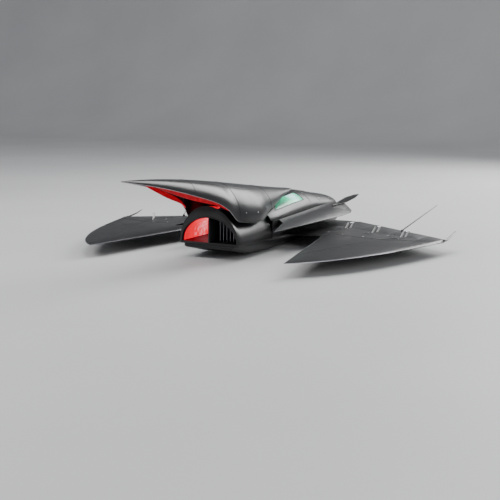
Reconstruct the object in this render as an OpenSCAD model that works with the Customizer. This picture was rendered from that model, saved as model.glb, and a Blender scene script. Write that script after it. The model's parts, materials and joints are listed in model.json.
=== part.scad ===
// Radio-controlled flying wing with a beaked hood and two ducted fans.
// Origin: centre of the belly skid's flat face. +X port, +Y aft, +Z up.

/* [Airframe] */
// Overall span over the tip spikes
span = 1000; // [850:10:1200]
// Origin to the tip of the beak
nose_reach = 640; // [560:5:760]
// Origin to the tips of the tail fins
tail_reach = 394; // [370:2:470]
// Thickness of moulded foam and composite shells
wall = 2.4; // [1.6:0.1:3.2]

/* [Hull] */
// Half width of the tub at its rim
hull_half_w = 84; // [80:1:96]
// Height of the tub's rim over the belly face
hull_rim_z = 78; // [72:1:90]
// Origin to the tub's aft end
hull_aft = 350; // [320:5:360]
// Skid plate length
skid_len = 260; // [200:5:320]
// Skid plate width
skid_w = 70; // [50:1:84]

/* [Hood] */
// Height of the beak's tip
beak_z = 222; // [190:1:260]
// Greatest half width of the hood
hood_half_w = 82; // [78:1:100]
// Deepest drop from the hood's spine to its rim
hood_drop = 97; // [80:1:105]
// Origin to the hood's hinge pin
hinge_y = 148; // [130:1:170]
// Diameter of the hood's hinge pin
pin_d = 4; // [3:0.2:5]

/* [Intake] */
// Half width of the mouth at its floor
mouth_half_w = 78; // [72:1:84]
// Height of the mouth
mouth_h = 62; // [58:1:72]
// Floor of the mouth over the belly face
mouth_floor = 42; // [36:1:46]
// Thickness of the splitter plate
splitter_t = 4; // [2:0.5:6]

/* [Fans] */
// Inner diameter of the fan shrouds
fan_d = 51; // [40:1:54]
// Sideways distance between the fan shafts
fan_pitch = 76; // [74:1:84]
// Height of the fan shafts
fan_z = 73; // [70:1:78]
// Number of blades on each rotor
blades = 11; // [5:1:13]
// Gap between blade tip and shroud
tip_gap = 0.4; // [0.3:0.05:0.8]
// Diameter of the motor cans
motor_d = 24; // [18:1:26]
// Diameter of the motor shafts
shaft_d = 3; // [2:0.5:4]
// Inner diameter of the exhaust nozzles
nozzle_d = 43; // [34:1:46]

/* [Wing] */
// Height of the wing's middle plane
wing_z = 34; // [28:1:40]
// Half thickness of the wing
wing_half_t = 9; // [8:0.25:11]
// Sideways place of the forward barb
barb_x = 266; // [240:2:290]
// Reach of the forward barb ahead of the origin
barb_reach = 412; // [360:4:460]
// Diameter of the two spar tubes
spar_d = 8; // [6:0.5:10]

/* [Controls] */
// Half thickness of the wing at the hinge line
hinge_r = 4.5; // [4:0.1:5.5]
// Gap round every control surface
hinge_gap = 0.8; // [0.6:0.1:1.2]
// Diameter of the hinge trunnions
trunnion_d = 3; // [2:0.2:4]
// Length of the servo arms and horns
horn_len = 22; // [18:0.5:26]
// Backward lean of the arms and horns at rest
horn_lean = 35; // [20:1:40]
// Distance between servo shaft and hinge
rod_len = 18; // [16:0.5:24]
// Diameter of the push rods
rod_d = 1.6; // [1.2:0.1:2]

/* [Power and radio] */
// Battery pack length
battery_len = 135; // [110:1:150]
// Battery pack width
battery_w = 44; // [34:1:50]
// Battery pack height
battery_h = 34; // [26:1:38]

/* [Hidden] */
$fn = 64;
SIDES = ["port", "starboard"];

// Colours
shell_black = [0.05, 0.05, 0.055];
satin_graphite = [0.16, 0.16, 0.17];
carbon_grey = [0.1, 0.1, 0.11];
nylon_white = [0.78, 0.78, 0.76];
steel_grey = [0.6, 0.6, 0.62];

// Hull: the tub, its skid and the deck over it
skid_t = 3;
rim_gap = 0.3;
deck_ledge = 6;
chin_y = -286;
block_aft_y = -100;
bilge_r = 22;
tail_rise = 20;
lip_t = 6;
chin_rim_z = mouth_floor - lip_t - 0.4;
deck_front_y = block_aft_y + 1;

// Hood: stations run from the beak (0) to the hinge (1)
hood_aft_y = hinge_y - 10;
hood_aft_z = 141.5;
hinge_z = hood_aft_z - 8.5;
spine_bulge = 67;
HOOD_T = [0, 0.05, 0.1, 0.16, 0.22, 0.28, 0.34, 0.4, 0.44, 0.47, 0.495, 0.55, 0.62, 0.665, 0.71,
    0.77, 0.83, 0.9, 0.96, 1];
HOOD_DROP = [[0, 0.01], [0.05, 0.07], [0.16, 0.19], [0.28, 0.355], [0.395, 0.54], [0.44, 0.69],
    [0.495, 0.99], [0.55, 1], [0.62, 0.94], [0.71, 0.68], [0.83, 0.41], [0.905, 0.215], [1, 0.035]];
HOOD_WIDTH = [[0, 0.012], [0.05, 0.08], [0.16, 0.23], [0.28, 0.45], [0.395, 0.69], [0.49, 0.87],
    [0.55, 0.96], [0.62, 1], [0.665, 0.94], [0.71, 0.83], [0.83, 0.61], [0.905, 0.465], [1, 0.32]];
arch_steps = 16;

// Wing outline: notch, forward barb, leading edge, tip and trailing edge
root_x = hull_half_w + 0.3;
root_front_y = -24;
notch_x = 187;
notch_y = -11;
spike_w = 8;
wing_end_x = span / 2 - spike_w;
wing_end_y = 30;
barb_front = -barb_reach;
bow_1 = [(wing_end_x - barb_x) * 0.37, 52];
bow_2 = [(wing_end_x - barb_x) * 0.755, 222];
te_root_y = 300;
te_slope = 0.689;
te_knee_x = 170;
edge_t = 0.5;
hinge_slope = 0.467;
hinge_sweep = atan(hinge_slope);
hinge_ref = [390.8, 54.7];

// Control surfaces: name order is flap, elevon, aileron from the root outwards
SURFACE_X = [[172, 246], [254, 342], [358, 436]];
HORN_X = [204, 298, 390.8];
te_half_t = 0.6;
trunnion_reach = 3.6;
trunnion_gap = 0.08;

// Linkage, in a frame with X along the hinge, Y square to it and aft
arm_t = 2;
hub_r = 3.2;
eye_r = 1.8;
eye_gap = 0.1;
servo_shaft_d = 3;
servo_size = [20, 22, 8];
servo_gap = 0.5;
rod_offset = arm_t / 2 + rod_d / 2 + 0.4;

// Fans
shroud_t = 1.8;
shroud_len = 48;
shroud_front_y = -20;
duct_t = 1;
fan_fit = 0.2;
hub_d = 22;
rotor_y = -8;
rotor_len = 13;
motor_len = 30;
motor_y = rotor_y + rotor_len / 2 + 2;
can_t = 1.2;
former_t = 4;

// Spars
spar_y = [8, 85];
spar_half = [365, 252];

function mix(a, b, t) = a + (b - a) * t;
function hood_y(t) = mix(-nose_reach, hood_aft_y, t);
function hood_spine(t) = mix(beak_z, hood_aft_z, t) + spine_bulge * t * (1 - t) * (1 - t);
function hood_arch(t, inset) =
    let (w = hood_half_w * lookup(t, HOOD_WIDTH), drop = hood_drop * lookup(t, HOOD_DROP),
         top = hood_spine(t), x = max(w - inset, 0.4 * w), rise = max(drop - inset, 0.4 * drop))
    [for (i = [0:arch_steps]) let (a = 180 * i / arch_steps)
        [x * cos(a), hood_y(t), top - drop + rise * sin(a)]];
function reversed(list) = [for (i = [len(list) - 1:-1:0]) list[i]];

function tub_w(y) = lookup(y, [[chin_y, hull_half_w - 14], [chin_y + 30, hull_half_w - 6],
    [chin_y + 78, hull_half_w]]);
function tub_rim(y) = y < block_aft_y + 0.3 ? chin_rim_z : hull_rim_z;
function tub_floor(y) = lookup(y, [[chin_y, chin_rim_z - 8], [chin_y + 78, skid_t + 5],
    [-skid_len / 2 + 20, skid_t], [hull_aft - 150, skid_t], [hull_aft, skid_t + tail_rise]]);
function tub_section(y, inset) =
    let (w = tub_w(y) - inset, rim = tub_rim(y), floor_z = tub_floor(y) + inset,
         r = min(bilge_r, rim - floor_z - 1))
    [[w, y, rim], for (a = [0:22.5:90]) [w - r + r * cos(a), y, floor_z + r - r * sin(a)],
     for (a = [90:22.5:180]) [-w + r + r * cos(a), y, floor_z + r - r * sin(a)], [-w, y, rim]];
function deck_top(y) = lookup(y, [[-100, 108.5], [0, 119], [70, 128], [hinge_y, 133.5],
    [200, 131], [260, 121], [300, 114], [hull_aft, 107]]);
function deck_arch(y, inset, from = 0, to = 180) =
    [for (i = [0:arch_steps]) let (a = mix(from, to, i / arch_steps))
        [(hull_half_w - deck_ledge - inset) * cos(a), y,
         hull_rim_z + rim_gap + (deck_top(y) - hull_rim_z - rim_gap - inset) * sin(a)]];

function bezier(p, t) = (1 - t) ^ 3 * p[0] + 3 * t * (1 - t) ^ 2 * p[1]
    + 3 * t * t * (1 - t) * p[2] + t ^ 3 * p[3];
function leading_edge(t) = bezier([[barb_x, barb_front], [barb_x + bow_1[0], barb_front + bow_1[1]],
    [barb_x + bow_2[0], barb_front + bow_2[1]], [wing_end_x, wing_end_y]], t);
function trailing_y(x) = te_root_y - te_slope * max(0, x - te_knee_x);
function hinge_y_at(x) = hinge_ref[1] + hinge_slope * (hinge_ref[0] - x);
function hinge_point(x) = [x, hinge_y_at(x), wing_z];
function wing_t(x) = lookup(x, [[root_x, wing_half_t], [barb_x, wing_half_t],
    [barb_x + 110, wing_half_t * 0.8], [wing_end_x, 3]]);
WING_STATIONS = [[root_x, root_front_y], [(root_x + notch_x) / 2, root_front_y + 6],
    [notch_x, notch_y], [mix(notch_x, barb_x, 0.12), mix(notch_y, barb_front, 0.13)],
    for (f = [0.35, 0.6, 0.85]) [mix(notch_x, barb_x, f), mix(notch_y, barb_front, f)],
    for (i = [0:10]) leading_edge(i / 10)];

// Joins rings of points, each with the same count, into one closed solid
module loft(rings) {
    n = len(rings[0]);
    m = len(rings);
    sides = [for (i = [0:m - 2], j = [0:n - 1]) let (a = i * n + j, b = i * n + (j + 1) % n)
        each [[a, b, b + n], [a, b + n, a + n]]];
    caps = [[for (j = [n - 1:-1:0]) j], [for (j = [0:n - 1]) (m - 1) * n + j]];
    polyhedron([for (ring = rings) each ring], concat(sides, caps));
}

// Joins two nested rows of open arches into one thin shell with square edges
module shell(outer, inner) {
    n = len(outer[0]);
    m = len(outer);
    half = n * m;
    skins = [for (i = [0:m - 2], j = [0:n - 2]) let (a = i * n + j)
        each [[a, a + 1, a + 1 + n], [a, a + 1 + n, a + n],
            [half + a + 1 + n, half + a + 1, half + a], [half + a + n, half + a + 1 + n, half + a]]];
    rims = [for (i = [0:m - 2]) let (a = i * n, b = i * n + n - 1)
        each [[a + n, half + a, a], [a + n, half + a + n, half + a],
            [b, half + b, b + n], [half + b, half + b + n, b + n]]];
    ends = [for (j = [0:n - 2]) let (a = j, b = (m - 1) * n + j)
        each [[a, half + a, a + 1], [half + a, half + a + 1, a + 1],
            [b + 1, half + b, b], [b + 1, half + b + 1, half + b]]];
    polyhedron([for (ring = concat(outer, inner)) each ring], concat(skins, rims, ends));
}

module on_side(side) {
    if (side == "port") children();
    else mirror([1, 0, 0]) children();
}

module along_y(y, h, r) {
    translate([0, y, 0]) rotate([-90, 0, 0]) cylinder(h = h, r = r);
}

module along_x(x, h, r) {
    translate([x, 0, 0]) rotate([0, 90, 0]) cylinder(h = h, r = r);
}

// A tube or turned part round a fan shaft: the profile is [radius, y]
module turned(profile) {
    translate([fan_pitch / 2, 0, fan_z]) rotate([-90, 0, 0])
        rotate_extrude() polygon(profile);
}

module both_fans() {
    for (s = [-1, 1]) translate([s * fan_pitch / 2, 0, fan_z]) children();
}

module former(y, hole_r) {
    inner = [for (p = tub_section(y, wall - 0.4)) [p[0], p[2]]];
    arch = [for (p = deck_arch(y, wall + 1)) [p[0], p[2]]];
    difference() {
        translate([0, y + former_t, 0]) rotate([90, 0, 0])
            linear_extrude(former_t) polygon(concat(reversed(arch), inner));
        both_fans() along_y(y - 1, former_t + 2, hole_r);
    }
}

module centre_hull() {
    tub_y = [chin_y, chin_y + 30, chin_y + 78, block_aft_y + 0.1, block_aft_y + 0.5,
        0, hull_aft - 150, hull_aft - 70, hull_aft];
    color(shell_black) difference() {
        union() {
            shell([for (y = tub_y) reversed(tub_section(y, 0))],
                [for (y = tub_y) reversed(tub_section(y, wall))]);
            former(shroud_front_y + 26, fan_d / 2 + shroud_t + fan_fit);
            former(hull_aft - 30, nozzle_d / 2 + duct_t + 3);
            translate([-mouth_half_w + 10, chin_y + 1, chin_rim_z - 6])
                cube([2 * mouth_half_w - 20, 3, 6]);
        }
        for (y = spar_y) translate([0, y, wing_z])
            along_x(-hull_half_w - 5, 2 * hull_half_w + 10, spar_d / 2 + 0.1);
    }
}

module belly_skid() {
    corner = 12;
    color(carbon_grey) linear_extrude(skid_t) union() {
        square([skid_w - 2 * corner, skid_len], center = true);
        square([skid_w, skid_len - 2 * corner], center = true);
        for (sx = [-1, 1], sy = [-1, 1])
            translate([sx * (skid_w / 2 - corner), sy * (skid_len / 2 - corner)]) circle(corner);
    }
}

deck_stations = [deck_front_y, -50, 0, 70, hinge_y, 200, 260, 300, hull_aft];
window_x = [31, 64];
window_y = [-46, 20, 138];
module window_prism(gap) {
    translate([0, 0, hull_rim_z + 10]) linear_extrude(80) polygon([
        [window_x[1] + gap, window_y[0] - gap], [window_x[1] + gap, window_y[2] + gap],
        [window_x[0] - gap, window_y[2] + gap], [window_x[0] - gap, window_y[1] - gap]]);
}

module deck_shell(out, depth) {
    shell([for (y = deck_stations) deck_arch(y, -out)], [for (y = deck_stations) deck_arch(y, depth)]);
}

module rear_deck() {
    ear_w = 5;
    color(shell_black) difference() {
        union() {
            difference() {
                deck_shell(0, wall);
                translate([-6.4, hinge_y - 50, hinge_z - 9.3]) cube([12.8, 57.4, 30]);
                for (side = SIDES) on_side(side) window_prism(0.2);
            }
            for (s = [0, 1]) mirror([s, 0, 0]) translate([6.6, hinge_y - 7, hinge_z - 12])
                cube([ear_w, 14, 16.5]);
        }
        translate([0, hinge_y, hinge_z]) along_x(-20, 40, pin_d / 2 + 0.05);
    }
}

module lamp_window(side) {
    color(side == "port" ? [0.1, 0.9, 0.7] : [1, 0.15, 0.25]) on_side(side) intersection() {
        deck_shell(0, wall - 0.4);
        window_prism(0);
    }
}

module d_outline(a, b, power) {
    polygon([[-a, 0], [a, 0], for (i = [1:15]) [a * sign(cos(12 * i)) * pow(abs(cos(12 * i)), power),
        b * sin(12 * i)]]);
}

function block_ring(a, b, y, lean) = [for (i = [0:16]) let (c = cos(180 * i / 16))
    let (z = b * sin(180 * i / 16)) [a * sign(c) * pow(abs(c), 1.05), y - lean * z,
    mouth_floor - lip_t + z]];

brow_rise = 30;
block_top = mouth_floor + mouth_h + 8;
module intake_block() {
    rise = block_top - mouth_floor + lip_t;
    color(shell_black) difference() {
        loft([block_ring(mouth_half_w + 6, rise + brow_rise - 8, chin_y + 2, 0.06),
            block_ring(mouth_half_w + 6, rise, chin_y + 24, 0.03),
            block_ring(mouth_half_w + 6, rise, block_aft_y - 45, 0),
            block_ring(mouth_half_w + 6, rise, block_aft_y, 0)]);
        translate([0, block_aft_y - 50, mouth_floor]) rotate([90, 0, 0])
            linear_extrude(nose_reach) d_outline(mouth_half_w, mouth_h, 1.02);
        both_fans() along_y(block_aft_y - 60, 80, fan_d / 2 + 0.5 + duct_t + fan_fit);
    }
}

module intake_splitter() {
    color(satin_graphite) translate([-splitter_t / 2, 0, 0]) rotate([90, 0, 90])
        linear_extrude(splitter_t) polygon([[chin_y, mouth_floor + 0.2],
            [chin_y + 2, mouth_floor + mouth_h - 1], [block_aft_y - 52, mouth_floor + mouth_h - 1],
            [block_aft_y - 52, mouth_floor + 0.2]]);
}

module inlet_duct(side) {
    r = fan_d / 2 + 0.5;
    color(carbon_grey) on_side(side) turned([[r, block_aft_y - 48], [r + duct_t, block_aft_y - 48],
        [r + duct_t, shroud_front_y - 0.3], [r, shroud_front_y - 0.3]]);
}

module fan_shroud(side) {
    r = fan_d / 2;
    can_r = motor_d / 2 + 0.1;
    color(satin_graphite) on_side(side) difference() {
        union() {
            turned([[r + 1.2, shroud_front_y], [r + shroud_t, shroud_front_y],
                [r + shroud_t, shroud_front_y + shroud_len], [r, shroud_front_y + shroud_len],
                [r, shroud_front_y + 4]]);
            turned([[can_r, motor_y], [can_r + can_t, motor_y], [can_r + can_t, motor_y + motor_len],
                [can_r, motor_y + motor_len]]);
            for (i = [0:4]) translate([fan_pitch / 2, 0, fan_z]) rotate([0, 72 * i + 36, 0])
                translate([-0.8, motor_y + 3, can_r + 0.6]) cube([1.6, 24, r - can_r]);
        }
    }
}

module motor(side) {
    r = motor_d / 2;
    color(steel_grey) on_side(side) turned([[0, motor_y + motor_len + 4], [r - 3, motor_y + motor_len + 4],
        [r, motor_y + motor_len], [r, motor_y + 1], [shaft_d / 2 + 2, motor_y + 1],
        [shaft_d / 2, motor_y + 1], [shaft_d / 2, rotor_y - rotor_len / 2 + 1],
        [0, rotor_y - rotor_len / 2 + 1]]);
}

module exhaust(side) {
    r0 = fan_d / 2;
    r1 = nozzle_d / 2;
    y0 = shroud_front_y + shroud_len + 0.3;
    color(carbon_grey) on_side(side) turned([[r0, y0], [r0 + duct_t, y0], [r1 + duct_t, hull_aft - 40],
        [r1 + duct_t, hull_aft + 4], [r1, hull_aft + 4], [r1, hull_aft - 40]]);
}

module rotor(side) {
    tip_r = fan_d / 2 - tip_gap;
    color(carbon_grey) on_side(side) difference() {
        union() {
            turned([[0, rotor_y - rotor_len / 2 - 10], [4, rotor_y - rotor_len / 2 - 9],
                [8, rotor_y - rotor_len / 2 - 5], [hub_d / 2, rotor_y - rotor_len / 2 + 2],
                [hub_d / 2, rotor_y + rotor_len / 2], [0, rotor_y + rotor_len / 2]]);
            intersection() {
                translate([fan_pitch / 2, 0, fan_z]) along_y(rotor_y - rotor_len / 2, rotor_len, tip_r);
                translate([fan_pitch / 2, rotor_y, fan_z]) for (i = [0:blades - 1])
                    rotate([0, 360 * i / blades, 0]) rotate([0, 0, 40])
                        translate([-0.7, -7, hub_d / 2 - 2]) cube([1.4, 14, fan_d / 2]);
            }
        }
        translate([fan_pitch / 2, 0, fan_z])
            along_y(rotor_y - rotor_len / 2 + 0.8, rotor_len + 1, shaft_d / 2 + 0.05);
    }
}

module nose_hood() {
    lug_y = hinge_y - 44;
    lug_t = (lug_y + nose_reach) / (hood_aft_y + nose_reach);
    color(satin_graphite) difference() {
        union() {
            shell([for (t = HOOD_T) hood_arch(t, 0)], [for (t = HOOD_T) hood_arch(t, wall)]);
            translate([-6, 0, 0]) rotate([90, 0, 90]) linear_extrude(12) {
                polygon([[lug_y, hinge_z + 2], [hinge_y, hinge_z - 4.5], [hinge_y, hinge_z + 4.5],
                    [hood_aft_y - 1, hood_aft_z - 1.2], [lug_y, hood_spine(lug_t) - 1.4]]);
                translate([hinge_y, hinge_z]) circle(4.5);
            }
        }
        translate([0, hinge_y, hinge_z]) along_x(-20, 40, pin_d / 2 + 0.05);
    }
}

module hood_hinge_pin() {
    color(steel_grey) translate([0, hinge_y, hinge_z]) along_x(-11.6, 23.2, pin_d / 2);
}

function wing_ring(p) =
    let (x = p[0], back = trailing_y(x), hinge = max(hinge_y_at(x), mix(p[1], back, 0.6)),
         chord = hinge - p[1], h = wing_t(x),
         top = [[0, edge_t], [0.06, h * 0.34], [0.2, h * 0.75], [0.5, h], [1, hinge_r]])
    [for (q = top) [x, p[1] + q[0] * chord, wing_z + q[1]], [x, back, wing_z + te_half_t],
     [x, back, wing_z - te_half_t],
     for (q = reversed(top)) [x, p[1] + q[0] * chord, wing_z - q[1]]];

module surface_outline(x1, x2, gap) {
    polygon([[x1 - gap, hinge_y_at(x1 - gap)], [x1 - gap, te_root_y + 60], [x2 + gap, te_root_y + 60],
        [x2 + gap, hinge_y_at(x2 + gap)]]);
}

module at_hinge(x) {
    translate(hinge_point(x)) rotate([0, 0, -hinge_sweep]) children();
}

module hinge_bar(x1, x2, extra, r) {
    length = (x2 - x1) / cos(hinge_sweep);
    at_hinge(x1) along_x(-extra, length + 2 * extra, r);
}

module servo_block(gap) {
    translate([arm_t / 2 + 0.6 - gap, -rod_len - servo_size[0] + 5 - gap, -servo_size[2] / 2 - gap])
        cube([servo_size[1] + 2 * gap, servo_size[0] + 2 * gap, servo_size[2] + 2 * gap]);
}

module surface_cuts(i) {
    x1 = SURFACE_X[i][0];
    x2 = SURFACE_X[i][1];
    slot_half = arm_t / 2 + 0.6;
    translate([0, 0, wing_z - 15]) linear_extrude(30) surface_outline(x1, x2, hinge_gap);
    hinge_bar(x1 - hinge_gap, x2 + hinge_gap, hinge_r / 2, hinge_r + hinge_gap);
    at_hinge(HORN_X[i]) {
        servo_block(servo_gap);
        translate([arm_t, -rod_len - servo_size[0] + 8, -20])
            cube([servo_size[1] - 4, servo_size[0] - 6, 20]);
        translate([-slot_half, -rod_len - hub_r - 1, -hub_r - 1])
            cube([2 * slot_half + 0.1, rod_len, 20]);
    }
}

module wing(side) {
    color(shell_black) on_side(side) difference() {
        loft([for (p = WING_STATIONS) wing_ring(p)]);
        for (i = [0:2]) surface_cuts(i);
        hinge_bar(SURFACE_X[0][0], SURFACE_X[2][1], trunnion_reach + 0.5, trunnion_d / 2 + trunnion_gap);
        for (k = [0, 1]) translate([0, spar_y[k], wing_z])
            along_x(0, spar_half[k] + 1, spar_d / 2 + 0.1);
    }
}

module wing_spars() {
    color(carbon_grey) for (k = [0, 1]) translate([0, spar_y[k], wing_z]) difference() {
        along_x(-spar_half[k], 2 * spar_half[k], spar_d / 2);
        along_x(-spar_half[k] - 1, 2 * spar_half[k] + 2, spar_d / 2 - 1);
    }
}

module horn_plate(gap, bore) {
    rotate([90, 0, 90]) translate([0, 0, -arm_t / 2 - gap]) linear_extrude(arm_t + 2 * gap)
        rotate(-horn_lean) difference() {
            union() {
                polygon([[-hub_r, 0], [hub_r, 0], [eye_r, horn_len], [-eye_r, horn_len]]);
                circle(hub_r);
                translate([0, horn_len]) circle(eye_r);
            }
            if (bore > 0) translate([0, horn_len]) circle(rod_d / 2 - 0.1 + eye_gap);
            if (bore > 1) circle(servo_shaft_d / 2 + 0.05);
        }
}

function surface_ring(x) = [[x, trailing_y(x), wing_z + te_half_t],
    for (a = [90:15:270]) [x, hinge_y_at(x) + hinge_r / cos(hinge_sweep) * cos(a),
        wing_z + hinge_r * sin(a)],
    [x, trailing_y(x), wing_z - te_half_t]];

module control_surface(side, i) {
    x1 = SURFACE_X[i][0];
    x2 = SURFACE_X[i][1];
    color(satin_graphite) on_side(side) difference() {
        union() {
            loft([reversed(surface_ring(x1)), reversed(surface_ring(x2))]);
            hinge_bar(x1, x1 + 8, trunnion_reach, trunnion_d / 2);
            hinge_bar(x2 - 8, x2, trunnion_reach, trunnion_d / 2);
        }
        at_hinge(HORN_X[i]) translate([-arm_t / 2, -hub_r, -hub_r]) cube([arm_t, 2 * hub_r + 3, 20]);
    }
}

module horn(side, i) {
    color(nylon_white) on_side(side) at_hinge(HORN_X[i]) horn_plate(0, 1);
}

module arm(side, i) {
    color(nylon_white) on_side(side) at_hinge(HORN_X[i]) translate([0, -rod_len, 0]) horn_plate(0, 2);
}

module rod(side, i) {
    tip_y = horn_len * sin(horn_lean);
    tip_z = horn_len * cos(horn_lean);
    color(steel_grey) on_side(side) at_hinge(HORN_X[i]) translate([0, tip_y, tip_z]) {
        translate([rod_offset, -rod_len - rod_d / 2, 0]) rotate([-90, 0, 0])
            cylinder(h = rod_len + rod_d, d = rod_d);
        for (y = [-rod_len, 0]) translate([0, y, 0])
            along_x(-arm_t / 2 - 0.6, rod_offset + arm_t / 2 + 0.6, rod_d / 2 - 0.1);
    }
}

module servos() {
    color([0.12, 0.12, 0.14]) for (side = SIDES) on_side(side)
        for (i = [0:2]) at_hinge(HORN_X[i]) union() {
            servo_block(0);
            translate([0, -rod_len, 0]) along_x(-arm_t / 2, arm_t + 2, servo_shaft_d / 2);
        }
}

strake_stations = [[-211, 141, 142.5], [-160, 128, 146.5], [-99, 112, 151], [-62, root_x, 154],
    [50, root_x, 162], [166, root_x, 171.6], [240, root_x, 168], [292, root_x, 150]];
function strake_ring(s) =
    let (y = s[0], t = lookup(y, [[-211, 0.08], [-160, 0.5], [-99, 0.85], [-62, 1], [292, 1]]),
         ridge = max(lookup(y, [[-99, 113], [-44, 106], [229, 125], [292, 128]]), s[1] + 1.5 * t),
         ridge_z = 67.5 + t * lookup(y, [[-99, 9.5], [-44, 13], [229, 21], [292, 20]]))
    [[s[1], y, ridge_z - 1 * t], [min(ridge, s[2] - 0.7), y, ridge_z], [s[2], y, 68], [s[2], y, 67],
     [min(ridge, s[2] - 0.7), y, 67 - 7 * t], [s[1], y, 67 - 9 * t]];
module strake(side) {
    color(satin_graphite) on_side(side) loft([for (s = strake_stations) reversed(strake_ring(s))]);
}

function blade_ring(y, x, w, low, high) = [[x + w / 2, y, low], [x - w / 2, y, low],
    [x - w / 4, y, high], [x + w / 4, y, high]];
module tail_fin(side) {
    color(shell_black) on_side(side) loft([blade_ring(210, 122, 7, 89.2, 90.2),
        blade_ring(280, 127, 8, 89.4, 101), blade_ring(294, 128, 8, 89.4, 104),
        blade_ring(mix(294, tail_reach, 0.65), 131, 5, 96, 107),
        blade_ring(tail_reach, 133, 1.2, 104, 105.5)]);
}

module tip_spike(side) {
    inner = wing_end_x + 0.1;
    outer = span / 2;
    color(shell_black) on_side(side) loft([for (s = [[22, 1.5, 0.6, 0], [44, 4, 3.4, 0],
            [78, 7.4, 2.6, 1], [118, 6, 2, 7], [148, 7.9, 0.5, 14]])
        let (lo = s[0] < 100 ? inner : inner + s[1] - 4.5 + (s[0] - 118) * 0.05, hi = inner + s[1],
             z = wing_z + s[3])
        [[hi, s[0], z], [(lo + hi) / 2, s[0], z - s[2]], [lo, s[0], z - 0.3 * s[2]],
         [lo, s[0], z + 0.3 * s[2]], [(lo + hi) / 2, s[0], z + s[2]]]]);
}

antenna_x = (SURFACE_X[1][1] + SURFACE_X[2][0]) / 2;
module antenna(side) {
    base_y = trailing_y(antenna_x) - 17;
    color(carbon_grey) on_side(side) translate([antenna_x, base_y, wing_z + 1.5]) {
        cylinder(h = 5, r1 = 4, r2 = 3);
        translate([0, 0, 3.5]) rotate([0, 0, 73]) rotate([0, 72, 0]) cylinder(h = 176, r1 = 1.7, r2 = 0.8);
    }
}

battery_y = -215;
battery_z = block_top + 0.2;
module battery() {
    color([0.1, 0.12, 0.2]) translate([-battery_w / 2, battery_y, battery_z])
        cube([battery_w, battery_len, battery_h]);
}

module battery_strap() {
    t = 1.4;
    color([0.2, 0.2, 0.2]) translate([0, battery_y + battery_len / 2 - 9, battery_z]) difference() {
        translate([-battery_w / 2 - 0.2 - t, 0, 0]) cube([battery_w + 0.4 + 2 * t, 18, battery_h + 0.2 + t]);
        translate([-battery_w / 2 - 0.2, -1, -1]) cube([battery_w + 0.4, 20, battery_h + 1.2]);
    }
}

module flight_controller() {
    plate_z = fan_z + fan_d / 2 + shroud_t + 0.4;
    color([0.05, 0.25, 0.12]) translate([0, -58, plate_z]) {
        translate([-44, -4, 0]) cube([88, 40, 1.2]);
        translate([-17, 0, 1.2]) cube([34, 32, 6]);
    }
}

module speed_controllers() {
    color([0.15, 0.15, 0.3]) for (s = [-1, 1])
        translate([s * 32 - 15, -92, skid_t + wall + 0.2]) cube([30, 66, 13]);
}

module hood_lamp() {
    lamp_y = chin_y + 14;
    color([1, 0.2, 0.25]) translate([-18, lamp_y, block_top + 13.5]) cube([36, 12, 4]);
}

centre_hull();
belly_skid();
rear_deck();
intake_block();
intake_splitter();
inlet_duct("port");  // port_inlet_duct
inlet_duct("starboard");  // starboard_inlet_duct
fan_shroud("port");  // port_fan_shroud
fan_shroud("starboard");  // starboard_fan_shroud
motor("port");  // port_motor
motor("starboard");  // starboard_motor
exhaust("port");  // port_exhaust
exhaust("starboard");  // starboard_exhaust
rotor("port");  // port_rotor
rotor("starboard");  // starboard_rotor
nose_hood();
hood_hinge_pin();
wing("port");  // port_wing
wing("starboard");  // starboard_wing
wing_spars();
strake("port");  // port_strake
strake("starboard");  // starboard_strake
tail_fin("port");  // port_tail_fin
tail_fin("starboard");  // starboard_tail_fin
tip_spike("port");  // port_tip_spike
tip_spike("starboard");  // starboard_tip_spike
antenna("port");  // port_antenna
antenna("starboard");  // starboard_antenna
servos();
battery();
battery_strap();
flight_controller();
speed_controllers();
hood_lamp();
lamp_window("port");  // port_lamp_window
lamp_window("starboard");  // starboard_lamp_window
control_surface("port", 0);  // port_flap
control_surface("port", 1);  // port_elevon
control_surface("port", 2);  // port_aileron
control_surface("starboard", 0);  // starboard_flap
control_surface("starboard", 1);  // starboard_elevon
control_surface("starboard", 2);  // starboard_aileron
horn("port", 0);  // port_flap_horn
horn("port", 1);  // port_elevon_horn
horn("port", 2);  // port_aileron_horn
horn("starboard", 0);  // starboard_flap_horn
horn("starboard", 1);  // starboard_elevon_horn
horn("starboard", 2);  // starboard_aileron_horn
arm("port", 0);  // port_flap_arm
arm("port", 1);  // port_elevon_arm
arm("port", 2);  // port_aileron_arm
arm("starboard", 0);  // starboard_flap_arm
arm("starboard", 1);  // starboard_elevon_arm
arm("starboard", 2);  // starboard_aileron_arm
rod("port", 0);  // port_flap_rod
rod("port", 1);  // port_elevon_rod
rod("port", 2);  // port_aileron_rod
rod("starboard", 0);  // starboard_flap_rod
rod("starboard", 1);  // starboard_elevon_rod
rod("starboard", 2);  // starboard_aileron_rod
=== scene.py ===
"""Looks of a radio-controlled flying wing: a beaked hood over a split intake, barbed wings and two fans."""

import json
import math
import random

import bmesh
import bpy
from mathutils import Matrix, Vector
from mathutils.bvhtree import BVHTree


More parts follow.
